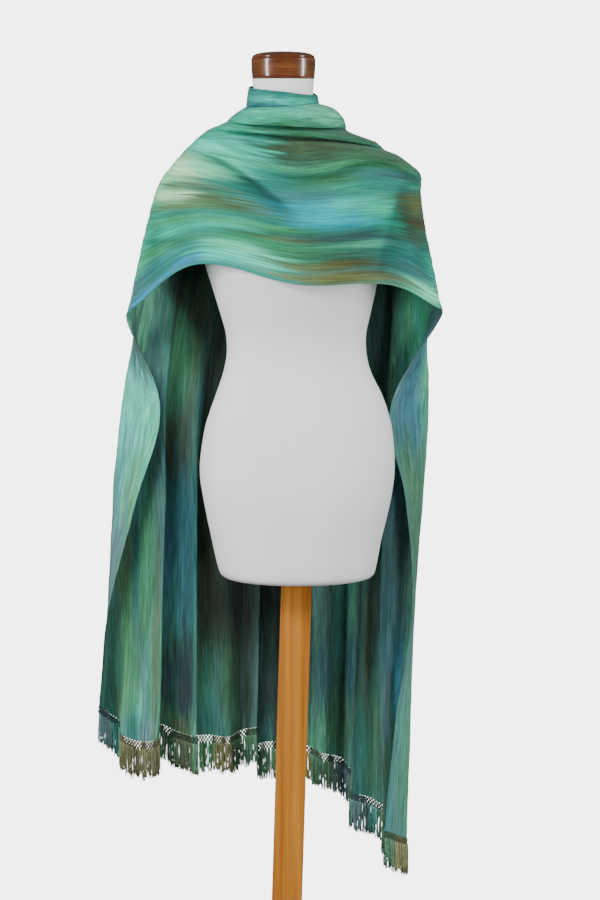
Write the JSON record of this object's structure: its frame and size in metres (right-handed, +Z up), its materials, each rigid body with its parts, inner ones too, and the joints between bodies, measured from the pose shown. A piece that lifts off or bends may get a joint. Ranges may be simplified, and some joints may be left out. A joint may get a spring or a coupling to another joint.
{
  "type": "hand-woven shawl on a dress form and stand",
  "caption": "Long hand-woven shawl with knotted-net fringe, worn back to front over a limbless dress form on a wooden stand, with both ends hanging down the back.",
  "frame": {"origin": "centre of the stand's underside, on the floor", "axes": "+Z up along the stand's height, the form's front faces -Y, its right side in the picture is +X"},
  "size_m": [0.6262, 0.412, 1.619],
  "materials": {
    "woven_cloth": "hand-woven twill, space-dyed in mint, teal, turquoise, olive and brown",
    "fringe_thread": "knotted warp threads",
    "jersey": "stretched white jersey cover",
    "varnished_wood": "dark glossy varnish",
    "timber": "golden clear-coated timber"
  },
  "bodies": {
    "root": {"form_torso": "jersey", "neck_cap": "varnished_wood", "stand_post": "timber", "stand_base": "timber", "shawl_collar": "woven_cloth", "shawl_front": "woven_cloth", "shawl_left_tail": "woven_cloth", "shawl_right_tail": "woven_cloth", "fringe_left": "fringe_thread", "fringe_right": "fringe_thread"}
  },
  "joints": []
}
